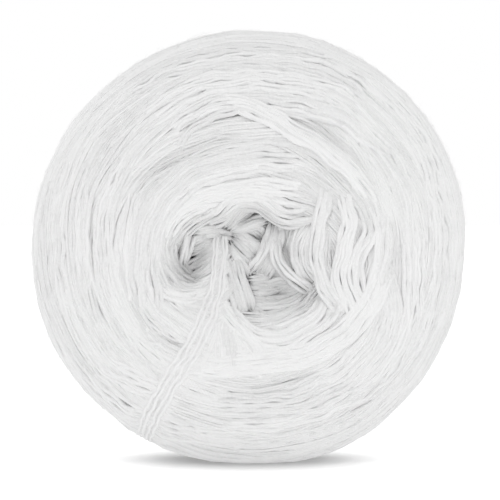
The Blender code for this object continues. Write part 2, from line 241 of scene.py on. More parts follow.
def wool(name, pale, deep, bump):
    """Spun wool. pale and deep are the lightest and darkest grey of its threads."""
    material, nodes, links, shader = new_material(name, 0.95, 0.15)
    shader.inputs["Sheen Weight"].default_value = 0.90
    shader.inputs["Sheen Roughness"].default_value = 0.6
    fibres = nodes.new("ShaderNodeGroup")
    fibres.node_tree = FIBRES
    own_tone = nodes.new("ShaderNodeAttribute")
    own_tone.attribute_name = "tone"
    blend = math_node(nodes, "MULTIPLY_ADD", FIBRES_IN_TONE)
    links.new(fibres.outputs["Tone"], blend.inputs[0])
    links.new(own_tone.outputs["Fac"], blend.inputs[2])
    colours = nodes.new("ShaderNodeMix")
    colours.data_type = "RGBA"
    colours.inputs["A"].default_value = (deep, deep, deep, 1.0)
    colours.inputs["B"].default_value = (pale, pale, pale, 1.0)
    links.new(blend.outputs[0], colours.inputs["Factor"])
    links.new(colours.outputs["Result"], shader.inputs["Base Color"])
    relief = nodes.new("ShaderNodeBump")
    relief.inputs["Strength"].default_value = bump
    relief.inputs["Distance"].default_value = FIBRE_RELIEF
    links.new(fibres.outputs["Height"], relief.inputs["Height"])
    links.new(relief.outputs["Normal"], shader.inputs["Normal"])
    return material


WOOL = wool("merino_wool", pale=0.945, deep=0.77, bump=0.8)

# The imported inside
# Turn upon turn of the same yarn, pressed together. It only shows as a soft ground between the outer turns,
# and it lies deeper towards the face, where the turns are loosest.
PACKED_DEPTH = 0.88
FACE_DEEPER = 1.5

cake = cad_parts["yarn_cake"]
packed_form = bmesh.new()
packed_form.from_mesh(cake.data)
bmesh.ops.remove_doubles(packed_form, verts=packed_form.verts, dist=0.01 * MM)
packed_form.normal_update()
SHAPE_TREE = BVHTree.FromBMesh(packed_form)
for vert in packed_form.verts:
    vert.co -= vert.normal * (PACKED_DEPTH + FACE_DEEPER * max(0.0, -vert.normal.y)) * MM
bmesh.ops.smooth_vert(
    packed_form, verts=packed_form.verts, factor=0.5, use_axis_x=True, use_axis_y=True, use_axis_z=True
)
packed_mesh = bpy.data.meshes.new("packed_inside")
packed_form.to_mesh(packed_mesh)
packed_form.free()
packed_mesh.shade_smooth()
packed = put("packed_inside", packed_mesh)

packed_wool, packed_nodes, packed_links, packed_shader = new_material("packed_wool", 1.0, 0.1)
packed_shader.inputs["Base Color"].default_value = (0.94, 0.94, 0.94, 1.0)
packed_shader.inputs["Sheen Weight"].default_value = 0.90
packed_shader.inputs["Sheen Roughness"].default_value = 0.6
packed_place = packed_nodes.new("ShaderNodeTexCoord")
packed_centre = packed_nodes.new("ShaderNodeMapping")
packed_centre.inputs["Location"].default_value = (0.0, 0.0, -AXIS_HEIGHT * MM)
packed_rings = packed_nodes.new("ShaderNodeTexWave")
packed_rings.wave_type = "RINGS"
packed_rings.rings_direction = "Y"
packed_rings.inputs["Scale"].default_value = 330.0
packed_rings.inputs["Distortion"].default_value = 5.0
packed_rings.inputs["Detail"].default_value = 2.0
packed_rings.inputs["Detail Scale"].default_value = 0.15
packed_relief = packed_nodes.new("ShaderNodeBump")
packed_relief.inputs["Strength"].default_value = 0.6
packed_relief.inputs["Distance"].default_value = 0.6 * MM
packed_links.new(packed_place.outputs["Object"], packed_centre.inputs["Vector"])
packed_links.new(packed_centre.outputs["Vector"], packed_rings.inputs["Vector"])
packed_links.new(packed_rings.outputs["Fac"], packed_relief.inputs["Height"])
packed_links.new(packed_relief.outputs["Normal"], packed_shader.inputs["Normal"])
packed_mesh.materials.clear()
packed_mesh.materials.append(packed_wool)
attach(packed, "root")
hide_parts("yarn_cake")

# How the wool builds up
# Each thread rests on what was wound before it. Three charts hold how high the wool lies so far: one of the
# face, one of the back and one that goes round the rim, with lengths in millimetres and angles in degrees.
CORE_RADIUS = 40.0
FAR = 80.0
NOTHING_THERE = -10.0
COARSE_CELLS = 5
START_DEPTH = 0.76


class Chart:
    """How high the wool lies over each place of one side of the cake.

    place turns two numbers and a height into a point, and read turns points into those three. rise is how
    high the wool lies so far, begun is where it lay at first, and roof is how high it may go.
    """

    def __init__(self, place, read, across, up, wraps):
        self.place = place
        self.read = read
        self.across_first, self.across_last, self.across_cell = across
        self.up_first, self.up_last, self.up_cell = up
        self.wraps = wraps
        self.columns = round((self.across_last - self.across_first) / self.across_cell)
        self.rows = round((self.up_last - self.up_first) / self.up_cell)
        self.across_at = self.across_first + (np.arange(self.columns) + 0.5) * self.across_cell
        self.up_at = self.up_first + (np.arange(self.rows) + 0.5) * self.up_cell
        self.rise = self.cast() - START_DEPTH
        self.begun = self.rise.copy()
        self.roof = np.full(self.rise.shape, FAR)

    def cast(self):
        """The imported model's own height, cast on a coarse grid and drawn out to the chart's cells."""
        across = np.linspace(self.across_first, self.across_last, self.columns // COARSE_CELLS + 1)
        up = np.linspace(self.up_first, self.up_last, self.rows // COARSE_CELLS + 1)
        coarse = np.full((len(up), len(across)), NOTHING_THERE)
        for row, q in enumerate(up):
            for column, p in enumerate(across):
                start = Vector(self.place(p, q, FAR)) * MM
                end = Vector(self.place(p, q, 0.0)) * MM
                hit = SHAPE_TREE.ray_cast(start, (end - start).normalized(), FAR * MM)[0]
                if hit is not None:
                    coarse[row, column] = FAR - (hit - start).length / MM
        wide = np.array([np.interp(self.across_at, across, line) for line in coarse])
        return np.array([np.interp(self.up_at, up, line) for line in wide.T]).T.copy()

    def cells(self, p, q):
        column = np.floor((p - self.across_first) / self.across_cell).astype(int)
        row = np.floor((q - self.up_first) / self.up_cell).astype(int)
        if self.wraps:
            column = column % self.columns
        return row, column

    def look_up(self, layer, p, q):
        """What the chart's rise, begun or roof says at each place."""
        row, column = self.cells(p, q)
        return layer[row.clip(0, self.rows - 1), column.clip(0, self.columns - 1)]

    def stamp(self, layer, points, choose):
        """Puts the points' heights into the chart's rise or roof, where choose prefers them."""
        p, q, rise = self.read(points)
        row, column = self.cells(p, q)
        held = (row >= 0) & (row < self.rows) & (column >= 0) & (column < self.columns) & (rise > 0)
        choose.at(layer, (row[held], column[held]), rise[held])


def face_place(p, q, rise):
    return (p, -rise, q)


def face_read(points):
    return points[:, 0], points[:, 2], -points[:, 1]


def back_place(p, q, rise):
    return (p, rise, q)


def back_read(points):
    return points[:, 0], points[:, 2], points[:, 1]


def rim_place(p, q, rise):
    turn = np.radians(p)
    lean = np.radians(q)
    out = CORE_RADIUS + rise * np.cos(lean)
    return (out * np.cos(turn), rise * np.sin(lean), AXIS_HEIGHT + out * np.sin(turn))


def rim_read(points):
    out = np.hypot(points[:, 0], points[:, 2] - AXIS_HEIGHT) - CORE_RADIUS
    turn = np.degrees(np.arctan2(points[:, 2] - AXIS_HEIGHT, points[:, 0])) % 360
    lean = np.degrees(np.arctan2(points[:, 1], out))
    return turn, lean, np.hypot(out, points[:, 1])


FACE = Chart(face_place, face_read, (-64.0, 64.0, 0.25), (-4.0, 124.0, 0.25), wraps=False)
BACK = Chart(back_place, back_read, (-64.0, 64.0, 0.25), (-4.0, 124.0, 0.25), wraps=False)
RIM = Chart(rim_place, rim_read, (0.0, 360.0, 0.25), (-115.0, 115.0, 0.5), wraps=True)
CHARTS = (FACE, BACK, RIM)

# Where the loose end lies
# Four soft threads side by side, drawn out of the middle. They lie over the face, go round the rim at the
# lower left and end against the cake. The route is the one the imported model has. The threads lie in two pairs
# where they start, and the wool that is laid before them stays under the roof that they put over it.
THREAD_DIAMETER = 0.9
Station = namedtuple("Station", "x y z")
LOOSE_END = [
    Station(-7.5, -25.4, 63.0),
    Station(-7.8, -26.9, 57.6),
    Station(-8.2, -29.2, 52.2),
    Station(-9.2, -30.9, 46.8),
    Station(-11.6, -33.9, 40.0),
    Station(-14.8, -35.2, 33.4),
    Station(-18.0, -35.5, 28.2),
    Station(-21.4, -33.9, 22.8),
    Station(-24.2, -30.5, 18.1),
    Station(-26.5, -25.5, 13.4),
    Station(-28.2, -18.0, 9.4),
    Station(-29.2, -8.0, 6.5),
    Station(-29.8, 3.0, 6.6),
    Station(-30.8, 14.0, 8.0),
]
Thread = namedtuple("Thread", "name paired at_ends at_middle")
THREADS = [
    Thread("loose_thread_1", -1.70, -1.90, -2.20),
    Thread("loose_thread_2", -0.95, -0.65, -0.85),
    Thread("loose_thread_3", 0.95, 0.65, 0.85),
    Thread("loose_thread_4", 1.70, 1.90, 2.20),
]
PAIRS_END = 0.30
LINE_STEP = 0.5
ROOM_STEP = 0.15
ROOM_DEPTH = 0.22
ROOM_HALF_WIDTH = 1.0
ROOM_SLOPE = 0.6
ROOM_REACH = 3.4
MIDDLE_POINT = np.array([0.0, 0.0, AXIS_HEIGHT])


def unit(vectors):
    return vectors / np.linalg.norm(vectors, axis=1)[:, None]


def distance_along(line):
    return np.concatenate([[0.0], np.cumsum(np.linalg.norm(np.diff(line, axis=0), axis=1))])


def smooth_route(route, steps=24):
    """Points of the smooth curve through a route's own points."""
    knots = np.array(route, dtype=float)
    padded = np.vstack([2 * knots[0] - knots[1], knots, 2 * knots[-1] - knots[-2]])
    pieces = []
    share = np.linspace(0, 1, steps, endpoint=False)[:, None]
    for place in range(len(knots) - 1):
        a, b, c, d = padded[place : place + 4]
        curve = 2 * b + (c - a) * share + (2 * a - 5 * b + 4 * c - d) * share**2
        pieces.append(0.5 * (curve + (3 * b - a - 3 * c + d) * share**3))
    pieces.append(knots[-1:])
    return np.concatenate(pieces)


def evenly(line, step):
    """The same line with a point at every step."""
    along = distance_along(line)
    places = np.linspace(0, along[-1], round(along[-1] / step) + 1)
    return np.array([np.interp(places, along, line[:, k]) for k in range(3)]).T


stations = np.array(LOOSE_END)
rights = unit(np.cross(stations - MIDDLE_POINT, np.gradient(stations, axis=0)))
route_share = np.linspace(0, 1, len(stations))
pairing = np.clip(1 - route_share / PAIRS_END, 0, 1) ** 0.5
LOOSE_LINES = []
for thread in THREADS:
    aside = thread.at_ends + (thread.at_middle - thread.at_ends) * 4 * route_share * (1 - route_share)
    aside = aside + (thread.paired - aside) * pairing
    LOOSE_LINES.append(evenly(smooth_route(stations - rights * aside[:, None], 18), LINE_STEP))
    under = evenly(LOOSE_LINES[-1], ROOM_STEP)
    out = unit(under - MIDDLE_POINT)
    side = unit(np.cross(np.gradient(under, axis=0), out))
    for away in np.arange(-ROOM_REACH, ROOM_REACH, ROOM_STEP):
        drop = ROOM_DEPTH - ROOM_SLOPE * max(0.0, abs(away) - ROOM_HALF_WIDTH)
        for chart in CHARTS:
            chart.stamp(chart.roof, under + side * away - out * drop, np.minimum)

# The hollows between the locks
# The turns of the face lie in thick locks with long soft hollows between them, which show as dark bands. Each
# row is one hollow: its route from the cake's middle, half its width and its depth.
Hollow = namedtuple("Hollow", "route half_width depth")
HOLLOWS = [
    Hollow([(-34, 8), (-29.5, 17.5), (-22, 24), (-15, 27.8), (-5, 32)], 2.8, 2.6),
    Hollow([(9, 34), (18, 29.6), (26, 24.6), (31.5, 18.5), (33.6, 12)], 1.7, 1.2),
    Hollow([(-6, -39.4), (6, -37.6), (16, -34.6), (24, -32)], 1.8, 1.5),
    Hollow([(-31, -12), (-27.5, -20), (-18, -26.6)], 1.8, 1.4),
    Hollow([(22.6, 4), (22.4, -3), (22.6, -9)], 1.4, 1),
    Hollow([(-19.6, 1.8), (-19.2, -2.6), (-18.2, -6.4)], 2.4, 3),
    Hollow([(29.8, 2), (28.2, -4), (28, -10)], 1.2, 0.9),
    Hollow([(-43.5, 4), (-40.5, 17), (-32, 29.6)], 1.6, 1.2),
    Hollow([(-20, -41), (-10, -45.6), (4, -46)], 1.5, 1.1),
    Hollow([(39.2, 8), (40.6, -8), (41.6, -18), (37.6, -28)], 1.5, 1.2),
]

for hollow in HOLLOWS:
    nearest = np.full(FACE.rise.shape, FAR)
    for x, z in smooth_route(hollow.route, 12):
        away = np.hypot(FACE.across_at[None, :] - x, FACE.up_at[:, None] - AXIS_HEIGHT - z)
        nearest = np.minimum(nearest, away)
    lowered = hollow.depth * np.exp(-((nearest / hollow.half_width) ** 2))
    FACE.rise -= lowered
    FACE.begun -= lowered

# How a thread is laid
# A soft single of about 0.95 mm, a little flattened where it is wound on. It sinks into the turns below it,
# bridges their hollows and dips under its neighbours at both ends.
rng = np.random.default_rng(41)
HALF_WIDTH = 0.50
HALF_HEIGHT = 0.38
SWELL_WAVE = 14.0
THREAD_PITCH = 0.68
PRESSED = 0.55
SETTLED = 0.10
WALK = 0.6
LIFT_REACH = 1.6
LIFT_SHARE = 0.8
TAPER_LENGTH = 2.0
TAPER_LEAST = 0.25
Strand = namedtuple("Strand", "line outward half_width half_height tone")
ALL_STRANDS = []


def varied(middle, spread, least, most):
    """A seeded value near the middle one, and never outside its limits."""
    return np.clip(rng.normal(middle, spread), least, most)


def wander(length, wave, size):
    """A slow, smooth, seeded drift along a thread."""
    total = np.zeros_like(length)
    for share in (1.0, 0.62, 0.41):
        start = rng.uniform(0, 2 * math.pi)
        height = rng.uniform(0.4, 1.0)
        total += height * np.sin(2 * math.pi * length / (wave * share * rng.uniform(0.85, 1.2)) + start)
    return total * size * 0.6


def steps_along(chart, p, q):
    """Distance along a path, with the sideways step of one millimetre at each of its points."""
    small = 0.01
    rise = chart.look_up(chart.rise, p, q)
    here = np.array(chart.place(p, q, rise)).T
    p_step = np.array(chart.place(p + small, q, rise)).T - here
    q_step = np.array(chart.place(p, q + small, rise)).T - here
    p_size = np.linalg.norm(p_step, axis=1) / small
    q_size = np.linalg.norm(q_step, axis=1) / small
    flat = np.stack([np.gradient(p) * p_size, np.gradient(q) * q_size], axis=1)
    size = np.maximum(np.linalg.norm(flat, axis=1), 1e-6)
    flat /= size[:, None]
    along = np.concatenate([[0.0], np.cumsum((size[1:] + size[:-1]) / 2)])
    return along, -flat[:, 1] / p_size, flat[:, 0] / q_size


def even_steps(chart, p, q, walk=WALK):
    """The same path over a chart, with a point at every step of a walk along it."""
    along = steps_along(chart, p, q)[0]
    places = np.linspace(0, along[-1], max(4, int(along[-1] / walk) + 1))
    return np.interp(places, along, p), np.interp(places, along, q)


def spread_peaks(rise, reach):
    """Each point takes the highest value within reach, as a thread that rests on the peaks does."""
    padded = np.pad(rise, reach, mode="edge")
    return np.max([padded[k : k + len(rise)] for k in range(2 * reach + 1)], axis=0)


def smoothed(rise, spread):
    """The same values with their corners rounded off."""
    reach = int(3 * spread) + 1
    weights = np.exp(-0.5 * (np.arange(-reach, reach + 1) / spread) ** 2)
    return np.convolve(np.pad(rise, reach, mode="edge"), weights / weights.sum(), "valid")


def press_in(line, outward, half_width, half_height):
    """Raises the charts to the top of a thread that has been laid, for the next ones to rest on."""
    places = np.arange(len(line))
    fine = np.linspace(0, len(line) - 1, 3 * len(line))
    centre = np.array([np.interp(fine, places, line[:, k]) for k in range(3)]).T
    out = np.array([np.interp(fine, places, outward[:, k]) for k in range(3)]).T
    side = unit(np.cross(np.gradient(centre, axis=0), out))
    wide = np.interp(fine, places, half_width)
    high = np.interp(fine, places, half_height)
    for share in (-0.85, -0.45, 0.0, 0.45, 0.85):
        top = centre + side * (share * wide)[:, None]
        top = top + out * (high * math.sqrt(1 - share**2) * PRESSED)[:, None]
        for chart in CHARTS:
            chart.stamp(chart.rise, top, np.maximum)


def lay(strands, chart, p, q, tone, bridge=2.0, dip=1.2, dip_length=9.0, lift=0.0, give=0.5, thick=1.0):
    """Lays one thread along a path of a chart, on top of what is there, and adds it to strands."""
    along, side_p, side_q = steps_along(chart, p, q)
    half_width = HALF_WIDTH * thick * (1 + wander(along, SWELL_WAVE, 0.10))
    half_height = HALF_HEIGHT * thick * (1 + wander(along, SWELL_WAVE, 0.08))
    across = [(p + k * half_width * side_p, q + k * half_width * side_q) for k in (-0.6, 0.0, 0.6)]
    highest = np.max([chart.look_up(chart.rise, *places) for places in across], axis=0)
    ground = chart.look_up(chart.begun, p, q)
    rise = ground + (1 - give) * (highest - ground) + half_height * PRESSED
    reach = max(1, int(bridge / WALK / 2))
    rise = smoothed(spread_peaks(rise, reach), max(1.0, bridge / WALK / 2.5)) - SETTLED
    from_end = np.minimum(along, along[-1] - along)
    buried = np.clip(1 - from_end / dip_length, 0, 1)
    rise = rise + lift - (dip + lift) * buried**2 * (3 - 2 * buried)
    # A thread close under the loose end swells up to touch it, and never passes it
    free = chart.look_up(chart.roof, p, q) - half_height - rise
    lifted = np.where(free < LIFT_REACH, np.clip(free, 0, 1), 0) * LIFT_SHARE
    rise = np.minimum(rise + smoothed(lifted, 2.5), rise + free)
    line = np.array(chart.place(p, q, rise)).T
    outward = np.array(chart.place(p, q, rise + 1.0)).T - line
    line[:, 2] = np.maximum(line[:, 2], half_height)
    taper = np.clip(from_end / TAPER_LENGTH, TAPER_LEAST, 1.0)
    strands.append(Strand(line, outward, half_width * taper, half_height * taper, tone))
    ALL_STRANDS.append(strands[-1])
    press_in(line, outward, half_width, half_height)


def wind(strands, chart, p, q, threads=6, pitch=THREAD_PITCH, slack=0.15, **how):
    """Lays a yarn of several threads side by side along a path, each drawn a little tighter or slacker."""
    yarn_tone = rng.uniform(0.0, 0.8)
    p, q = even_steps(chart, p, q)
    along, side_p, side_q = steps_along(chart, p, q)
    together = wander(along, 55.0, 0.35)
    for thread in rng.permutation(threads):
        aside = (thread - (threads - 1) / 2) * pitch + together + wander(along, 48.0, 0.20)
        drawn = varied(0, slack, -0.35, 0.35)
        tone = varied(yarn_tone, 0.2, 0.0, 0.85)
        lay(strands, chart, p + side_p * aside, q + side_q * aside, tone, lift=drawn, **how)


# How the threads become pieces
# A piece of the cake is all the threads of one kind of turn. Each is a thin closed tube, unwrapped along its
# length and with a tone of its own.
UNWRAP_SHIFT = 400.0


def tube(strand, sides, every):
    """The points, faces, end caps and unwrapped places of one thread's closed tube."""
    keep = np.unique(np.append(np.arange(0, len(strand.line), every), len(strand.line) - 1))
    line = strand.line[keep]
    count = len(line)
    way = unit(np.gradient(line, axis=0))
    side = unit(np.cross(way, strand.outward[keep]))
    out = np.cross(side, way)
    angles = 2 * math.pi * np.arange(sides) / sides
    wide = np.cos(angles)[None, :, None] * strand.half_width[keep][:, None, None]
    high = np.sin(angles)[None, :, None] * strand.half_height[keep][:, None, None]
    points = line[:, None, :] + side[:, None, :] * wide + out[:, None, :] * high
    rows, columns = np.meshgrid(np.arange(count - 1), np.arange(sides), indexing="ij")
    after = (columns + 1) % sides
    corner = [rows * sides + columns, rows * sides + after]
    corner += [(rows + 1) * sides + after, (rows + 1) * sides + columns]
    caps = np.array([np.arange(sides)[::-1], (count - 1) * sides + np.arange(sides)])
    length = distance_along(line) + rng.uniform(0, UNWRAP_SHIFT)
    u = np.stack([columns, columns + 1, columns + 1, columns], axis=-1) / sides
    v = np.stack([length[rows], length[rows], length[rows + 1], length[rows + 1]], axis=-1)
    unwrapped = np.stack([u, v], axis=-1).reshape(-1, 2)
    return points.reshape(-1, 3), np.stack(corner, axis=-1).reshape(-1, 4), caps, unwrapped


def make_strands(name, strands, sides, every, material):
    """Joins strands into one piece. A tube has that many sides, and a ring at every so many points."""
    points = []
    quads = []
    caps = []
    unwrapped = []
    tones = []
    first = 0
    for strand in strands:
        own_points, own_quads, own_caps, own_unwrapped = tube(strand, sides, every)
        points.append(own_points)
        quads.append(first + own_quads)
        caps.append(first + own_caps)
        unwrapped.append(own_unwrapped)
        tones.append(np.full(len(own_points), strand.tone))
        first += len(own_points)
    points = np.concatenate(points) * MM
    quads = np.concatenate(quads)
    caps = np.concatenate(caps)
    corners = np.concatenate([quads.ravel(), caps.ravel()])
    starts = np.concatenate([np.arange(len(quads)) * 4, len(quads) * 4 + np.arange(len(caps)) * sides])
    mesh = bpy.data.meshes.new(name)
    mesh.vertices.add(len(points))
    mesh.vertices.foreach_set("co", points.ravel())
    mesh.loops.add(len(corners))
    mesh.loops.foreach_set("vertex_index", corners.astype(np.int32))
    mesh.polygons.add(len(starts))
    mesh.polygons.foreach_set("loop_start", starts.astype(np.int32))
    flat = np.zeros((len(corners), 2))
    flat[: len(quads) * 4] = np.concatenate(unwrapped)
    mesh.uv_layers.new(name="thread").uv.foreach_set("vector", flat.ravel())
    tone = mesh.attributes.new("tone", "FLOAT", "POINT")
    tone.data.foreach_set("value", np.concatenate(tones))
    mesh.update(calc_edges=True)
    mesh.validate()
    mesh.shade_smooth()
    mesh.materials.append(material)
    piece = put(name, mesh)
    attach(piece, "root")
    return piece


# The slumped wool of the middle
# Where the yarn was drawn out, the slack turns round the hole have fallen across one another. Each row is one
# lock of them: its route from the cake's middle, its width at both ends, how far it stands up, how far its
# threads bridge the hollows under them and how deep its ends dip.
Lock = namedtuple("Lock", "name route width_start width_end lift bridge dip", defaults=(4, 1.2))
LOCK_WALK = 0.45
LOCK_UNDER_PITCH = 1.1
LOCK_PITCH = 0.70
LOCK_UNDER_THICK = 1.45
LOCK_THICK = 1.12
LOCK_LIFT_LEFT = 0.6
LOCK_GIVE = 0.45
MIDDLE_LOCKS = [
    Lock("wall top", [(-14, 8.6), (-6, 11.6), (2, 13.4), (12, 11)], 4, 4, 0.4),
    Lock("wall left", [(-8, 10.4), (-16, 7.6), (-20.6, 2), (-19.8, -4.4), (-15, -9.4)], 4, 4, -0.8),
    Lock("left edge", [(-22, 8), (-24.2, -1), (-22, -9), (-17, -13), (-10, -13.4)], 4, 4, 0.4),
    Lock("shelf under", [(-21, -13), (-15, -15.4), (-9, -15.6), (-3, -15)], 4, 4, 0.4),
    Lock("right hollow", [(21.6, 9), (19.8, 1), (20.4, -6), (24, -12)], 4, 4, 0.8),
    Lock("pocket wall", [(-0.6, -7.4), (4, -7.8), (8.6, -7.8), (14, -8.4)], 7, 6, -0.6, 4, 1),
    Lock("pocket ground", [(-0.6, -12.4), (5, -13.4), (11, -12.6), (16, -10.4)], 7, 6, -1, 4, 1),
    Lock("left ground", [(-5, 1.8), (-10.6, 0.6), (-16.6, -2.4)], 7, 8, 0.7, 4, 0.8),
    Lock("trench wide", [(12.4, 8), (10.8, 1.4), (11.4, -4.1), (15.4, -9.6)], 7, 5, 0.4),
    Lock("cape ground", [(-4, 5.2), (1, 4), (5.4, 0.6)], 5, 5, 0, 3),
    Lock("left fan high", [(-5.6, 4.9), (-10.4, 4.4), (-15.4, 2.6)], 2, 4, 0.8, 3),
    Lock("left fan", [(-5.4, 3.4), (-10.4, 1.4), (-15, -0.6)], 2.2, 4.6, 0.8, 3, 1.3),
    Lock("left bowl", [(-21.6, 3.5), (-21.4, -3.1), (-18, -8), (-13, -9), (-8.6, -6.6)],
         3.4, 4.4, -1.2, 6, 1.8),
    Lock("left fan low", [(-4.6, 0.9), (-9.4, -2.4), (-14, -5.6), (-17, -7.4)], 3.4, 4.6, 0.6, 3, 1.3),
    Lock("under the pairs", [(-4.2, -1.6), (-8, -5.4), (-12.4, -8.8), (-16.4, -10.6)], 4, 4.6, 1.3, 4, 1.3),
    Lock("behind the pairs", [(-3.6, -7.6), (-6, -10.4), (-9.8, -12.8), (-14, -14)], 4.6, 5, 1.4, 4, 1),
    Lock("shelf low", [(-2.6, -13.4), (-7.4, -16.6), (-13, -19)], 5, 5, 0.8, 4, 1),
    Lock("left hang", [(-15, 5.8), (-16.2, 1.4), (-17.2, -2.6), (-17.6, -6)], 2, 1.2, 1, 8, 1.4),
    Lock("knot top", [(-6.4, 4.4), (-4, 7.4), (-1.2, 9.8), (1.8, 11.6)], 3.4, 6, 0),
    Lock("knot right", [(-5.4, 4.2), (-1.2, 5.6), (2.6, 6.8), (6.6, 7.8)], 1.8, 3.4, 0.2),
    Lock("pocket low", [(0.6, -16.8), (5.5, -18.2), (11.4, -16.6), (17.2, -13.4)], 3.4, 3, 0.4, 5, 1.6),
    Lock("pocket floor", [(1.4, -13.8), (6.4, -14.6), (11.4, -13.2), (16.4, -10.4)], 4.4, 3.6, -0.4, 5, 1.4),
    Lock("pocket mid", [(1, -10.2), (5.5, -11), (9.6, -9.6), (13, -8.2)], 3.4, 2.6, 1, 4, 1.4),
    Lock("cape low", [(-5, 2.6), (-3, -1.2), (-0.2, -4.6), (1.8, -8.4)], 2.4, 3, 0.3, 5, 1.4),
    Lock("cape", [(-5.2, 3.6), (-1.8, 2), (1.8, -0.8), (4.4, -4.2)], 2.4, 5.6, 0.7, 5, 1.4),
    Lock("tongue", [(8, 8), (7.4, 2.6), (5, -3), (2.2, -8.6)], 3.6, 6.4, 0.9, 6),
    Lock("finger", [(6, 5.4), (4.6, 0.6), (2, -4.4), (-0.4, -7.6)], 1.4, 1.4, 1.3, 8),
    Lock("spine", [(-5, -0.6), (-3.2, -6.4), (-1.6, -12.6), (0.4, -19.4)], 3.4, 3.6, 0.2, 6, 1.6),
    Lock("spine left", [(-5.4, -4.4), (-4.2, -9.6), (-2.8, -14.4), (-1.2, -19.4)], 2.6, 3, 0.6, 6, 1.4),
    Lock("crossing", [(8.2, 6), (7.8, -2.2), (9.2, -5.8), (13.2, -9), (18.6, -12.6)], 1.8, 2.4, 1.1, 10),
]


def lay_lock(strands, lock, sway, ragged, crossing, dip_length, slack=0.13, tones=(0.1, 0.7)):
    """Lays one lock over the face: a closed layer of wide soft threads, then the threads that show."""
    route = smooth_route(lock.route)
    p, q = even_steps(FACE, route[:, 0], route[:, 1] + AXIS_HEIGHT, LOCK_WALK)
    along, side_p, side_q = steps_along(FACE, p, q)
    share = along / along[-1]
    width = lock.width_start + (lock.width_end - lock.width_start) * share
    widest = max(lock.width_start, lock.width_end)
    together = wander(along, 26.0, 0.30)
    lock_tone = rng.uniform(*tones)
    for pitch, thick in ((LOCK_UNDER_PITCH, LOCK_UNDER_THICK), (LOCK_PITCH, LOCK_THICK)):
        sides = np.linspace(-0.5, 0.5, max(2, round(widest / pitch)))
        for side in sorted(sides, key=lambda place: -abs(place)):
            aside = side * width + together + wander(along, 18.0, sway)
            aside = aside + rng.normal(0, crossing) * min(1, along[-1] / 60) * (share - 0.5)
            kept = (share >= rng.uniform(0, ragged)) & (share <= 1 - rng.uniform(0, ragged))
            lift = lock.lift * LOCK_LIFT_LEFT + varied(0, slack, -0.3, 0.3)
            lay(
                strands,
                FACE,
                (p + side_p * aside)[kept],
                (q + side_q * aside)[kept],
                tone=varied(lock_tone, 0.2, 0.0, 0.85),
                bridge=lock.bridge,
                dip=lock.dip,
                dip_length=dip_length,
                lift=lift,
                give=LOCK_GIVE,
                thick=thick,
            )


middle_strands = []
for lock in MIDDLE_LOCKS:
    # The middle's threads take the darkest tones of the wool: painted shade, deepening the shade that its
    # hollows cast.
    lay_lock(middle_strands, lock, 0.22, ragged=0.08, crossing=0.5, dip_length=4, slack=0.08, tones=(0, 0.3))
make_strands("slumped_middle", middle_strands, 6, 2, WOOL)

# The turns under the ones that show
# Yarn wound side by side round the face, the back and the rim, so that a gap between the outer turns shows
# more yarn under them. Near the sunken middle the turns follow its own flatter round.
MIDDLE_X = -1.2
MIDDLE_Z = -4.4
MIDDLE_WIDER = 0.17
MIDDLE_LOWER = 0.14
OUTERMOST = 57.0
UNDER_THREADS = 6
UNDER_PITCH = 0.95
UNDER_STEP = UNDER_THREADS * UNDER_PITCH * 0.95
UNDER_FACE_FIRST = 19.0
UNDER_BACK_FIRST = 1.5
UNDER_RIM_LEAN = 52.0
UNDER_RIM_STEP = 8.4


def eased(value):
    value = np.clip(value, 0, 1)
    return value * value * (3 - 2 * value)


def face_path(radius, angle):
    """Where a turn of that radius lies: round the sunken middle near it, and round the cake further out."""
    near = 1 - eased((radius - 18) / 24)
    held = 1 - eased(radius / 60)
    x = MIDDLE_X * held + radius * np.cos(angle) * (1 + MIDDLE_WIDER * near)
    z = MIDDLE_Z * held + radius * np.sin(angle) * (1 - MIDDLE_LOWER * near)
    return x, z + AXIS_HEIGHT


def back_path(radius, angle):
    return radius * np.cos(angle), AXIS_HEIGHT + radius * np.sin(angle)


under_strands = []
whole_turn = np.linspace(0, 2 * math.pi + 0.3, 240)
for chart, path, nearest in ((FACE, face_path, UNDER_FACE_FIRST), (BACK, back_path, UNDER_BACK_FIRST)):
    for radius in np.arange(nearest, OUTERMOST, UNDER_STEP):
        angle = whole_turn + rng.uniform(0, 2 * math.pi)
        p, q = path(radius + 1.4 * np.sin(angle + rng.uniform(0, 2 * math.pi)), angle)
        wind(under_strands, chart, p, q, threads=UNDER_THREADS, pitch=UNDER_PITCH)
for middle_lean in np.arange(-UNDER_RIM_LEAN, UNDER_RIM_LEAN + 0.1, UNDER_RIM_STEP):
    angle = whole_turn + rng.uniform(0, 2 * math.pi)
    lean = middle_lean + 5.0 * np.sin(angle + rng.uniform(0, 2 * math.pi))
    wind(under_strands, RIM, np.degrees(angle), lean, threads=UNDER_THREADS, pitch=UNDER_PITCH)
make_strands("under_turns", under_strands, 4, 6, WOOL)

# The turns of the face
# The yarn comes in from the rim, bends round the middle and goes out to the rim again, each pass over the one
# before and a little further out. The slack turns near the middle sway together.
FACE_FIRST = 21.0
FACE_LAST = 49.0
FACE_STEP = 1.45
FACE_SWAY = 0.50
TURNS_END = 56.0
BEND_MOST = 1.3


def face_sway(radius, angle):
    """How far the turns near the middle sway; further out they lie nearly straight."""
    slack = FACE_SWAY * (0.30 + 0.70 * (1 - eased((radius - 20) / 26)))
    waves = np.sin(5 * angle + 0.21 * radius + 0.7) + 0.7 * np.sin(9 * angle - 0.33 * radius + 2.1)
    waves += 0.5 * np.sin(14 * angle + 0.5 * radius + 4.0)
    return slack * waves


def passes_of(radius, further, bend):
    """The middle angles of the passes that close one round, and how far each one reaches to its sides."""
    reach = math.acos(radius / min(radius + further, TURNS_END)) / bend
    count = max(2, round(math.pi / reach))
    turn = rng.uniform(0, 2 * math.pi)
    for each in range(count):
        yield turn + 2 * math.pi * each / count + rng.uniform(-0.25, 0.25), reach


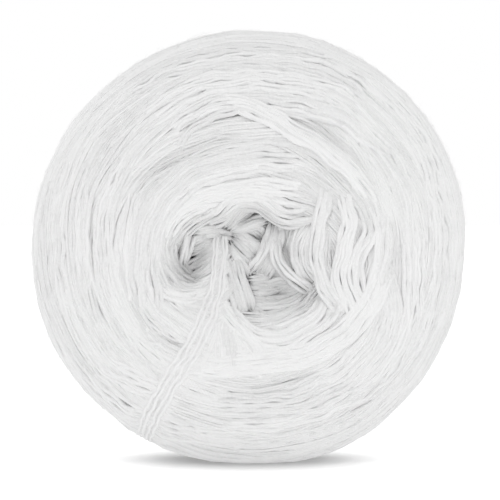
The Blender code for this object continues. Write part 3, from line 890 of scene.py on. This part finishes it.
face_strands = []
for radius in np.arange(FACE_FIRST, FACE_LAST, FACE_STEP):
    bend = rng.uniform(0.26, 0.42)
    for middle, reach in passes_of(radius, 5, bend):
        angle = middle + np.linspace(-reach, reach, 160) * rng.uniform(0.9, 1.15)
        own_radius = radius + rng.uniform(-0.7, 0.7)
        out = own_radius / np.cos(np.clip(bend * (angle - middle), -BEND_MOST, BEND_MOST))
        out = np.minimum(out, OUTERMOST) + face_sway(out, angle)
        p, q = face_path(out, angle)
        wind(face_strands, FACE, p, q, give=0.42)
make_strands("face_turns", face_strands, 5, 5, WOOL)

# The turns round the rim
# The same yarn runs from face to back and back to face as it goes round, so its turns cross each other at the
# middle of the rim and lie side by side where they turn on the two shoulders.
RIM_YARNS = 32
RIM_DWELL = 1.0
RIM_PITCH = 0.86


def make_two_pieces(strands, first_name, second_name):
    """Joins each half of the strands into a piece of its own."""
    half = len(strands) // 2
    make_strands(first_name, strands[:half], 5, 6, WOOL)
    make_strands(second_name, strands[half:], 5, 6, WOOL)


rim_strands = []
for each in range(RIM_YARNS):
    swing = rng.uniform(48.0, 70.0)
    pace = rng.uniform(0.95, 1.25)
    start = rng.uniform(0, 360)
    turn = np.linspace(0, rng.uniform(300, 460), 700)
    wave = np.sin(np.radians(pace * turn) + rng.uniform(0, 2 * math.pi))
    lean = swing * np.tanh(RIM_DWELL * wave) / math.tanh(RIM_DWELL)
    wind(rim_strands, RIM, start + turn, lean, threads=5, pitch=RIM_PITCH, dip_length=12.0, give=0.45)
make_two_pieces(rim_strands, "rim_turns_lower", "rim_turns_upper")

# The turns of the two shoulders
# Where the yarn turns back from the rim it lies along the shoulder, one turn close beside the next.
SHOULDER_FIRST = 34.0
SHOULDER_LAST = 84.0
SHOULDER_STEP = 5.0
SHOULDER_SAG = 11.0
shoulder_strands = []
for facing in (-1, 1):
    for middle_lean in np.arange(SHOULDER_FIRST, SHOULDER_LAST, SHOULDER_STEP)[::-1]:
        turn_first = rng.uniform(0, 360)
        for each in range(3):
            middle = turn_first + 120 * each + rng.uniform(-12, 12)
            reach = rng.uniform(62, 92)
            turn = middle + np.linspace(-reach, reach, 260)
            away = ((turn - middle) / reach) ** 2
            lean = facing * (middle_lean + rng.uniform(-1.5, 1.5) - SHOULDER_SAG * away)
            wind(shoulder_strands, RIM, turn, lean, pitch=RIM_PITCH, slack=0.19, dip_length=12.0, give=0.30)
make_two_pieces(shoulder_strands, "shoulder_turns_face", "shoulder_turns_back")

# The turns of the back
# The back is wound as the face is, but nothing was drawn out of it, so its turns lie close round a shallow
# dimple.
BACK_FIRST = 2.5
BACK_LAST = 50.0
BACK_STEP = 1.8
BACK_SWAY = 0.35
back_strands = []
for radius in np.arange(BACK_FIRST, BACK_LAST, BACK_STEP):
    bend = rng.uniform(0.45, 0.65)
    for middle, reach in passes_of(radius, 12, bend):
        angle = middle + np.linspace(-reach, reach, 160)
        own_radius = radius + rng.uniform(-0.7, 0.7)
        out = own_radius / np.cos(np.clip(bend * (angle - middle), -BEND_MOST, BEND_MOST))
        out = np.minimum(out, OUTERMOST) + BACK_SWAY * np.sin(6 * angle + 0.3 * out)
        p, q = back_path(out, angle)
        wind(back_strands, BACK, p, q, give=0.76)
make_strands("back_turns", back_strands, 5, 5, WOOL)

# The loose locks of the outer face
# Bundles of slack turns that lie over the even ones and cross them at a low angle, nearer the rim.
OUTER_LOCKS = [
    Lock("left outer", [(-50.2, 17.8), (-51.8, 8.4), (-52.3, -0.9), (-51.2, -11.6), (-48.6, -22.3)],
         3, 4, 0.3),
    Lock("left second", [(-36.8, 28.5), (-42.7, 21.8), (-45.3, 12.4),
         (-45.9, 1.7), (-44.8, -9), (-42.1, -19.7)], 4, 5, 0.4),
    Lock("left third", [(-26.6, 31.2), (-34.1, 21.8), (-38.4, 11.1),
         (-39.5, 0.4), (-38.4, -10.3), (-35.2, -21)], 4, 5, 0.3),
    Lock("left fourth", [(-22.6, 25.8), (-29.3, 17.8), (-32.5, 8.4),
         (-33.6, -0.9), (-32.5, -11.6), (-29.3, -22.3)], 3, 4, 0.3),
    Lock("upper band", [(-26.6, 23.1), (-17.3, 35.2), (-6.6, 39.7), (5.5, 39.7),
         (18.9, 37.1), (29.6, 31.2), (37.6, 21.8)], 5, 5, 0.3),
    Lock("upper mid", [(-34.6, 25.8), (-26.6, 36), (-15.9, 42.9), (-2.5, 45.6),
         (13.5, 45.1), (26.9, 40.3), (36.2, 31.2)], 5, 5, 0.4),
    Lock("upper right", [(24.2, 37.1), (34.4, 29.8), (40.8, 21.8), (45.1, 12.4), (46.7, 1.7)], 4, 4, 0.4),
    Lock("right third", [(34.9, 12.4), (36, 1.7), (37.1, -6.3), (38.7, -14.3),
         (37.6, -22.3), (32.8, -30.9), (25.5, -37.1)], 4, 6, 0.3),
    Lock("right second", [(42.9, 12.4), (44.5, 1.7), (45.1, -9), (44.5, -18.3),
         (41.3, -27.7), (34.9, -37.1), (25.5, -43.7)], 4, 5, 0.4),
    Lock("right outer band", [(38.9, 39.2), (47, 28.5), (51.8, 15.1),
         (53.6, 1.7), (52.6, -11.6), (49.9, -22.3)], 4, 5, 0.3),
    Lock("lower left inner", [(-32, -14.3), (-28.8, -21.8), (-21.3, -24.5), (-13.2, -24.5)], 4, 4, 0.3),
    Lock("lower left", [(-43.2, -22.3), (-38.9, -30.9), (-30.6, -36.2), (-19.9, -40), (-9.2, -41.6)],
         5, 5, 0.3),
    Lock("lower left outer", [(-48, -27.7), (-41.3, -37.9), (-32, -45.1), (-19.9, -49.6), (-6.6, -51.8)],
         5, 5, 0.3),
    Lock("bottom right", [(2.8, -39.7), (13.5, -38.4), (24.2, -33.6), (30.9, -27.7), (34.4, -19.7)],
         4, 4, 0.3),
    Lock("bottom second", [(-22.6, -37.9), (-13.2, -41.1), (-1.2, -42.4),
         (13.5, -41.1), (25.5, -35.7), (34.9, -27.7)], 5, 5, 0.4),
    Lock("bottom third", [(-15.9, -47.8), (-2.5, -49.6), (13.5, -47.8),
         (26.9, -42.4), (37.6, -34.4), (44.3, -25)], 5, 5, 0.3),
    Lock("top outer", [(-40.5, 34.4), (-29.3, 44.5), (-15.9, 50.4), (0.1, 52.8),
         (16.2, 51.5), (29.6, 46.1), (40.3, 36)], 4, 5, 0.4),
]

outer_locks = []
for lock in OUTER_LOCKS:
    lay_lock(outer_locks, lock, 0.35, ragged=0.25, crossing=1.6, dip_length=12.0)
make_strands("outer_locks_of_the_face", outer_locks, 5, 4, WOOL)

# The locks on top of the face
# Slack turns that have slipped together and stand up from the face, laid from the lowest to the topmost.
TOP_LOCKS = [
    Lock("upper lip", [(-24.5, -3.6), (-23, 4.6), (-16.2, 11.6), (-3.1, 15.6), (9.5, 15.2), (20.6, 12)],
         4, 6, 0.3, 4, 2.2),
    Lock("lower shelf", [(-24.5, -3.1), (-22.6, -10), (-16.5, -12.2), (-9.5, -10.8), (-4, -11.6)],
         5, 4, 0.2, 4, 2.2),
    Lock("right wall", [(19.6, 10.8), (15.4, 3.3), (14, -1.5), (15.6, -6.3), (20.6, -12.2)],
         4.6, 4, 0.3, 5, 1.8),
    Lock("bottom lip", [(-1.6, -18.4), (6, -20.9), (13.5, -18.5), (18.6, -14.3), (19.6, -9)],
         4.4, 4, 0.3, 5, 1.8),
    Lock("lower lip", [(-8.2, -9.6), (-4.9, -18.6), (3.3, -24.4), (13.5, -23.3), (21.4, -16.3), (23.4, -8)],
         4, 5.4, 0.5, 5, 2.2),
    Lock("fan left", [(-6.6, -13.6), (-8.8, -20.6), (-12, -27.2), (-18.2, -38.4)], 2.4, 7, 0.5, 4, 2),
    Lock("fan right", [(-5.6, -14.6), (-3.2, -20.2), (0.8, -26), (8.6, -37.4)], 2.4, 6, 0.5, 4, 2),
    Lock("fan middle", [(-6, -13.6), (-6, -20.2), (-5.4, -27), (-4.2, -39)], 3.2, 9.5, 0.6, 4, 2),
    Lock("collar", [(-25.6, -22.4), (-28, -6.3), (-26.2, 6.8), (-19.5, 16.9),
         (-8.8, 22.4), (2.8, 24.6), (18.7, 23.5)], 7, 8, 0.4, 4, 2.2),
    Lock("right outer", [(35.4, 16), (37, 1.7), (35.2, -9), (35.4, -24)], 3.6, 4, 0.5, 5, 1.6),
    Lock("right far", [(31.7, 13.1), (33, 5.8), (30.4, -0.9), (29.3, -7.6), (31.2, -14.3), (33.8, -23)],
         3, 3.4, 0.9, 5, 1.6),
    Lock("right middle", [(24.5, 19.1), (27.4, 7.6), (25.8, -0.4),
         (24.7, -8.4), (26.9, -15.6), (31.1, -24.3)], 3, 3.4, 1, 5, 1.6),
    Lock("right inner", [(23.4, 22.9), (20.5, 11.1), (18.6, 1.7), (19.1, -6.8), (22.9, -14.3), (28.4, -22.2)],
         2.4, 3, 1.1, 5, 1.6),
    Lock("low band", [(-26, -34), (-13, -31.6), (0, -31), (12, -29.6),
         (22.5, -25.5), (30.5, -18), (36, -8), (38.5, 2)], 6, 5, 0.5, 5, 1.6),
    Lock("sweep", [(-13, 41.4), (-5, 40), (1.5, 37.9), (9.5, 33.8),
         (17.5, 29), (25.5, 23.1), (32.2, 15.6), (36.4, 7.1)], 4, 3.4, 1.1, 5, 1.8),
    Lock("knot wrap", [(-12.4, 4.6), (-8.8, 4.4), (-5.2, 3.4), (-1.6, 3.2)], 1.6, 1.4, 2.6, 3, 2.4),
    Lock("brow", [(-15.8, 4.6), (-8.4, 8.4), (-3.6, 12), (1.8, 12.8),
         (6.2, 10.4), (10.8, 8), (15.6, 8.4), (20.9, 11.2)], 4, 4, 0.4, 6, 1.6),
]

top_strands = []
for lock in TOP_LOCKS:
    lay_lock(top_strands, lock, 0.30, ragged=0.14, crossing=0.9, dip_length=8.0)
make_strands("locks_of_the_face", top_strands, 6, 3, WOOL)

# The loose end
# The four threads, soft and a trace whiter than the wool behind them, each a closed tube along its line. Each
# settles a little way into the wool that was laid under it.
LOOSE_WOOL = wool("loose_wool", pale=0.94, deep=0.84, bump=0.8)
WAVER = 0.26
SINK_MOST = 0.75
SUNK_IN = 0.36
FACE_LEAN = -0.45
for thread, line in zip(THREADS, LOOSE_LINES):
    outward = unit(line - MIDDLE_POINT)
    settled = []
    for chart in (FACE, RIM):
        p, q, rise = chart.read(line)
        resting = chart.look_up(chart.rise, p, q) + THREAD_DIAMETER / 2 - SUNK_IN
        rise = np.minimum(rise, np.maximum(rise - SINK_MOST, resting))
        settled.append(np.array(chart.place(p, q, rise)).T)
    on_face = (outward[:, 1] < FACE_LEAN)[:, None]
    moved = np.where(on_face, settled[0], settled[1]) - line
    line = line + np.array([smoothed(moved[:, k], 4.0) for k in range(3)]).T
    outward = unit(line - MIDDLE_POINT)
    along = distance_along(line)
    across = unit(np.cross(np.gradient(line, axis=0), outward))
    line = line + across * wander(along, 15.0, WAVER)[:, None]
    radius = THREAD_DIAMETER / 2 * (1.04 + wander(along, 7.0, 0.12))
    strand = Strand(line, outward, radius, radius, 0.5)
    piece = make_strands(thread.name.replace("loose", "loose_end"), [strand], 8, 1, LOOSE_WOOL)
    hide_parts(thread.name)
    [tuple(point * MM) for point in line]

# The fluff
# Short ends of fibre stand a little off the outer threads all over the cake and soften its outline.
FLUFF_WOOL = wool("fluff_wool", pale=0.96, deep=0.90, bump=0.2)
FLUFF_COUNT = 5700
FLUFF_TAPER = np.array([1.0, 1.0, 0.8, 0.3])
FLUFF_HALF_WIDTH = 0.03
FLUFF_SHORTEST = 1.2
FLUFF_LONGEST = 4.5
FLUFF_COVERED = 0.45
fluff = []
bearers = [strand for strand in ALL_STRANDS if len(strand.line) > 8]
lengths = np.array([len(strand.line) for strand in bearers], dtype=float)
for which in rng.choice(len(bearers), size=4 * FLUFF_COUNT, p=lengths / lengths.sum()):
    bearer = bearers[which]
    place = int(rng.integers(3, len(bearer.line) - 3))
    point = bearer.line[place]
    out = bearer.outward[place]
    chart = FACE if out[1] < -0.9 else BACK if out[1] > 0.9 else RIM
    p, q, rise = chart.read(point[None, :])
    if chart.look_up(chart.rise, p, q)[0] - rise[0] > FLUFF_COVERED:
        continue
    way = bearer.line[place + 1] - point
    way = way / np.linalg.norm(way) * rng.choice((-1.0, 1.0))
    side = np.cross(way, out)
    lean = rng.normal(0, 0.45)
    reach = rng.uniform(FLUFF_SHORTEST, FLUFF_LONGEST)
    stand = rng.uniform(0.1, 0.9) ** 2
    share = np.linspace(0, 1, len(FLUFF_TAPER))[:, None]
    line = point + out * bearer.half_height[place] * 0.8
    line = line + (way * math.cos(lean) + side * math.sin(lean)) * reach * share
    line = line + out * stand * np.sin(share * rng.uniform(1.6, 3.0)) + side * rng.normal(0, 0.3) * share**2
    line[:, 2] = np.maximum(line[:, 2], 0.05)
    thin = FLUFF_TAPER * FLUFF_HALF_WIDTH
    outward = np.repeat(out[None, :], len(line), axis=0)
    fluff.append(Strand(line, outward, thin, thin, rng.uniform(0.3, 1.0)))
    if len(fluff) == FLUFF_COUNT:
        break
make_strands("fluff", fluff, 3, 1, FLUFF_WOOL)
